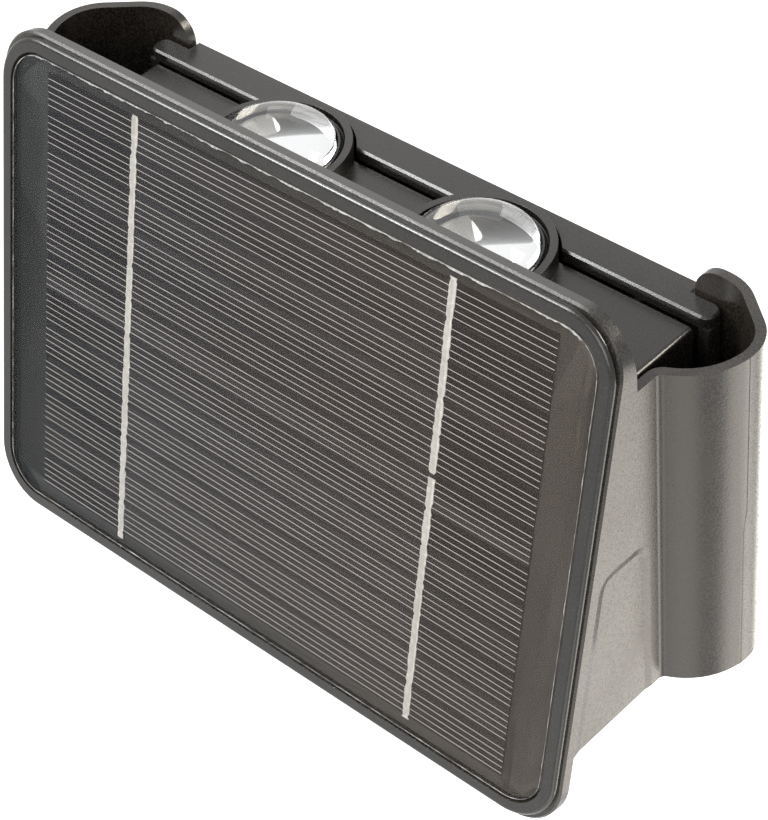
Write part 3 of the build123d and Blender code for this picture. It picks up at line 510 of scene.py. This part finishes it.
ribbons = bmesh.new()
for route in ribbon_routes:
    tinned_ribbon(ribbons, *route)
bmesh.ops.solidify(ribbons, geom=ribbons.faces[:], thickness=ribbon_rise)
bmesh.ops.transform(ribbons, matrix=panel_place, verts=ribbons.verts)
bmesh.ops.recalc_face_normals(ribbons, faces=ribbons.faces)
tinned_copper = grained("tinned_copper", (0.72, 0.69, 0.63), (0.93, 0.90, 0.84), 0.00006, 0.42,
                        grain=0.0011)
add_piece("tinned_ribbons", ribbons, tinned_copper, "light", "ribbon", "cell_ribbons")
board_sealant = grained("board_sealant", (0.020, 0.020, 0.020), (0.050, 0.049, 0.047), 0.0001, 0.45,
                        grain=0.0008)
dress(board_sealant, "panel_glue")

# ---------------------------------------------------------------- lens pods
# Two round wells in the case's top. In each, a plated bowl and a power LED sit under a clear
# acrylic lens, which a black ring holds down on a silicone seal.
pod_names = ("left", "right")
turning_steps = 96
lens_ball_radius = 0.0165
lens_flange_reach = 0.0016
lens_flange_thickness = 0.0016
lens_skirt = 0.0002
lens_arc_steps = 16
ring_profile = (
    # inset from the outer edge and drop from the top, from the outside in past a groove
    (0, 0.0009), (0.0004, 0.0011), (0.0006, 0.0002), (0.0008, 0), (0.0012, 0), (0.0014, 0.0003),
)
bowl_wall = 0.0009
bowl_mouth = 0.0112
bowl_throat = 0.0038
bowl_rim_thickness = 0.0012
bowl_steps = 20
bowl_steps_in_rim = 3


def spun(profile, centre):
    """Turned piece: a profile of (radius, height) points spun once round an upright axis."""
    bm = bmesh.new()
    verts = [bm.verts.new((centre[0] + radius, centre[1], height)) for radius, height in profile]
    edges = [bm.edges.new(pair) for pair in zip(verts, verts[1:])]
    bmesh.ops.spin(bm, geom=verts + edges, cent=(*centre, 0), axis=(0, 0, 1), angle=2 * pi,
                   steps=turning_steps, use_merge=True)
    bmesh.ops.remove_doubles(bm, verts=bm.verts, dist=1e-7)
    bmesh.ops.recalc_face_normals(bm, faces=bm.faces)
    return bm


def lens_profile(flange, foot, top):
    """Flat back, flange, short skirt and domed face of one lens."""
    edge = flange - lens_flange_reach
    dome_start = top - lens_ball_radius + sqrt(lens_ball_radius ** 2 - edge ** 2)
    seat = foot + lens_flange_thickness
    points = [(0, foot), (flange, foot), (flange, seat), (edge, seat), (edge, dome_start - lens_skirt)]
    for i in range(1, lens_arc_steps + 1):
        height = dome_start + (top - dome_start) * sin(pi / 2 * i / lens_arc_steps)
        radius = sqrt(max(lens_ball_radius ** 2 - (height - top + lens_ball_radius) ** 2, 0))
        points.append((radius, height))
    return points


def clamping_ring_profile(outer, foot, top):
    """Upright ring with a groove round its top, closed at its outer foot."""
    crown = [(outer - inset, top - drop) for inset, drop in ring_profile]
    return [(outer, foot)] + crown + [(crown[-1][0], foot), (outer, foot)]


def bowl_profile(rim, foot, top):
    """Parabolic bowl with a flat rim and a wall of one thickness."""
    shares = [i / bowl_steps for i in range(bowl_steps + 1)]
    inside = [(bowl_throat + (bowl_mouth - bowl_throat) * share, foot + (top - foot) * share ** 2)
              for share in shares]
    outside = [(radius + bowl_wall, height) for radius, height in reversed(inside[:-bowl_steps_in_rim])]
    under_rim = top - bowl_rim_thickness
    flat_rim = [(rim, top), (rim, under_rim), (bowl_mouth + bowl_wall, under_rim)]
    return inside + flat_rim + outside + inside[:1]


lens_acrylic = new_material("lens_acrylic", Base_Color=(0.97, 0.985, 0.99, 1), Roughness=0.015, IOR=1.49,
                            Transmission_Weight=1.0)
ring_gloss = grained("ring_gloss", (0.010, 0.010, 0.010), (0.022, 0.021, 0.021), 0.00002, 0.16)
seal_rubber = grained("seal_rubber", (0.015, 0.015, 0.015), (0.030, 0.030, 0.030), 0.00003, 0.5)
# The bowl's dull colour is very dark, so its blotches are painted reflections of dark surroundings.
plated_bowl = metal("plated_bowl", (0.66, 0.64, 0.60), (0.16, 0.14, 0.12), 0.03, depth=0.000001,
                    lines=300.0, haze=0.03)
led_board_alloy = grained("led_board_alloy", (0.10, 0.09, 0.08), (0.22, 0.21, 0.19), 0.00002, 0.4)
led_phosphor = grained("led_phosphor", (0.85, 0.66, 0.16), (0.93, 0.78, 0.30), 0.00002, 0.2)
turned_pieces = (
    # name and node, outline, material and slot
    ("clear_lens_", "lens_", lens_profile, lens_acrylic, "clear_lens"),
    ("lens_ring_", "lens_retainer_", clamping_ring_profile, ring_gloss, "ring_black"),
    ("plated_bowl_", "reflector_", bowl_profile, plated_bowl, "plated"),
)

for pod in pod_names:
    low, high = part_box("lens_" + pod)
    centre = ((low[0] + high[0]) / 2, (low[1] + high[1]) / 2)
    for name, node, outline, material, slot in turned_pieces:
        low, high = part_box(node + pod)
        profile = outline((high[0] - low[0]) / 2, low[2], high[2])
        add_piece(name + pod, spun(profile, centre), material, "light", slot, node + pod)
    dress(seal_rubber, "lens_seal_" + pod)
    dress(led_board_alloy, "led_board_" + pod)
    dress(led_phosphor, "led_" + pod)
dress(zinc_steel, "led_screws")

# ---------------------------------------------------------------- battery
# One cylindrical cell in a shrink sleeve lies in an open nylon cradle between two nickel
# contacts; two small screws hold the cradle to the case's floor.
cell_sleeve = grained("cell_sleeve", (0.03, 0.16, 0.30), (0.05, 0.22, 0.38), 0.00001, 0.22)
nylon_black = grained("nylon_black", (0.018, 0.018, 0.018), (0.040, 0.040, 0.039), 0.00003, 0.5)
nickel = metal("nickel", (0.75, 0.72, 0.66), (0.50, 0.47, 0.42), 0.24, stretch=(1, 6, 1))
dress(cell_sleeve, "battery_cell")
dress(nylon_black, "battery_holder")
dress(nickel, "positive_contact", "negative_contact")
dress(zinc_steel, "holder_screws")

# ---------------------------------------------------------------- control board
# Green board on two posts of the case's back wall, with the charge chip, the LED driver's
# choke and a smoothing capacitor. Two small screws hold it.
board_green = grained("board_green", (0.006, 0.060, 0.026), (0.014, 0.105, 0.046), 0.00002, 0.25,
                      grain=0.0011)
chip_epoxy = grained("chip_epoxy", (0.012, 0.012, 0.013), (0.030, 0.030, 0.031), 0.00002, 0.45)
ferrite = grained("ferrite", (0.030, 0.030, 0.032), (0.075, 0.073, 0.072), 0.00004, 0.6)
can_aluminium = metal("can_aluminium", (0.80, 0.80, 0.82), (0.62, 0.62, 0.64), 0.22, stretch=(1, 1, 8))
dress(board_green, "control_board")
dress(chip_epoxy, "control_chip")
dress(ferrite, "choke")
dress(can_aluminium, "capacitor")
dress(zinc_steel, "board_screws")

# ---------------------------------------------------------------- push switch
# Latching switch in a cage on the case's floor. Its round rubber-faced button comes out
# through the case's underside, with a silicone ring round it.
button_edge = 0.0003
button_rubber = grained("button_rubber", (0.050, 0.050, 0.050), (0.085, 0.084, 0.082), 0.00004, 0.6)
dress(nylon_black, "switch_body")
dress(seal_rubber, "switch_seal")
add_piece("round_button", soften(merged_copy("push_button"), button_edge, hollows=False), button_rubber,
          "button", "button_grey", "push_button")

# ---------------------------------------------------------------- wires
# Copper wires in red sleeves, soldered at both ends. They run from the panel, the battery,
# the switch and the LEDs to the control board.
sleeve_red = grained("sleeve_red", (0.38, 0.012, 0.010), (0.52, 0.030, 0.024), 0.00001, 0.35)
dress(sleeve_red, "led_wires", "panel_leads", "battery_leads", "switch_leads")

# ---------------------------------------------------------------- wall bracket
# Black ABS bracket that stays on the wall. The light's ears hook over its two edges, and its
# shelf keeps the light from sliding further down.
# Its convex edges carry a strong painted glint.
bracket_plastic = grained("bracket_plastic", (0.012, 0.011, 0.010), (0.034, 0.030, 0.026), 0.000012, 0.18,
                          grain=fine_grain, rub=0.9)
add_piece("bracket_moulding", soften(merged_copy("wall_bracket"), housing_edge), bracket_plastic,
          "bracket", "bracket_black", "wall_bracket")

# ---------------------------------------------------------------- floor, light and camera
# Pale studio floor under the part, soft lamps, and the camera where the photograph's stood.
# Gleam lamps only show in the plastic's gloss, as thin lines along its edges.
fit_azimuth = radians(46.74)
fit_elevation = radians(41.79)
fit_roll = radians(-5.99)
fit_distance = 0.52354
fit_aim = (-0.01417, 0.00218)
fit_drop = 0.0365
focal_length = 113.05
floor_level = -0.85
floor_radius = 5.0
ambient_level = 0.28
warm_white = (1.0, 0.92, 0.79)


def photo_camera():
    """Camera at the photograph's place: its own right, up and back axes turn it."""
    back = Vector((sin(fit_azimuth) * cos(fit_elevation), -cos(fit_azimuth) * cos(fit_elevation),
                   sin(fit_elevation)))
    right = Vector((cos(fit_azimuth), sin(fit_azimuth), 0))
    up = back.cross(right)
    right, up = (right * cos(fit_roll) + up * sin(fit_roll), up * cos(fit_roll) - right * sin(fit_roll))
    place = right * fit_aim[0] + up * fit_aim[1] + back * fit_distance - Vector((0, 0, fit_drop))
    data = bpy.data.cameras.new("photo_camera")
    data.lens = focal_length
    data.sensor_width = 36
    data.clip_start = 0.01
    camera = bpy.data.objects.new("photo_camera", data)
    camera.matrix_world = Matrix.Translation(place) @ Matrix((right, up, back)).transposed().to_4x4()
    scene.collection.objects.link(camera)
    scene.camera = camera


def soft_lamp(name, place, size, radiance, colour=(1, 1, 1), gleam=False):
    """Square studio lamp of an even brightness that faces the part; a gleam only shows in its gloss."""
    data = bpy.data.lights.new(name, "AREA")
    data.shape = "SQUARE"
    data.size = size
    data.energy = radiance * pi * size ** 2
    data.color = colour
    lamp = bpy.data.objects.new(name, data)
    turn = (-Vector(place)).to_track_quat("-Z", "Y").to_matrix().to_4x4()
    lamp.matrix_world = Matrix.Translation(place) @ turn
    lamp.visible_camera = False
    lamp.visible_diffuse = not gleam
    lamp.visible_transmission = not gleam
    scene.collection.objects.link(lamp)


photo_camera()
soft_lamp("right_lamp", (0.62, 0.30, -0.52), 0.60, 3.1, colour=warm_white)
soft_lamp("right_low_lamp", (0.50, -0.62, -0.58), 0.5, 1.6, colour=warm_white)
soft_lamp("top_lamp", (-0.62, -0.36, 0.80), 0.8, 4.2)
soft_lamp("rear_lamp", (-0.52, 0.76, 0.42), 0.6, 0.7)
soft_lamp("front_lamp", (0.35, -0.90, 0.50), 0.7, 3.4)
soft_lamp("left_gleam", (-0.54, -0.50, 0.68), 0.30, 24.0, gleam=True)
soft_lamp("rear_gleam", (0.57, 0.51, 0.62), 0.34, 20.0, colour=warm_white, gleam=True)
soft_lamp("right_gleam", (-0.06, 0.80, -0.62), 0.60, 4.0, colour=warm_white, gleam=True)

floor_disc = bmesh.new()
bmesh.ops.create_circle(floor_disc, cap_ends=True, segments=turning_steps, radius=floor_radius,
                        matrix=Matrix.Translation((0, 0, floor_level)))
floor_mesh = bpy.data.meshes.new("studio_floor")
floor_disc.to_mesh(floor_mesh)
floor_disc.free()
floor = bpy.data.objects.new("studio_floor", floor_mesh)
scene.collection.objects.link(floor)


def white_rays(tree, socket):
    """Feeds a socket 1 for the rays that should meet plain white: camera, gloss and glass rays."""
    nodes = add_nodes(tree, path="LightPath", seen="Math", clear="Math")
    for name in ("seen", "clear"):
        nodes[name].operation = "MAXIMUM"
    wire(tree, nodes, "path.Is Camera Ray > seen.0", "path.Is Glossy Ray > seen.1", "seen.Value > clear.0",
         "path.Is Transmission Ray > clear.1")
    tree.links.new(nodes["clear"].outputs["Value"], socket)


floor_paint = new_material("floor_paint", Base_Color=(0.82, 0.82, 0.82, 1), Roughness=0.9,
                           Emission_Color=(1, 1, 1, 1))
floor_tree = floor_paint.node_tree
white_rays(floor_tree, floor_tree.nodes["Principled BSDF"].inputs["Emission Strength"])
floor_mesh.materials.append(floor_paint)

world = bpy.data.worlds.new("studio")
scene.world = world
world.use_nodes = True
background = world.node_tree.nodes["Background"]
sky_level = world.node_tree.nodes.new("ShaderNodeMapRange")
set_sockets(background, Color=(1, 1, 1, 1))
set_sockets(sky_level, To_Min=ambient_level, To_Max=1.0)
white_rays(world.node_tree, sky_level.inputs["Value"])
world.node_tree.links.new(sky_level.outputs["Result"], background.inputs["Strength"])

scene.view_settings.view_transform = "Standard"
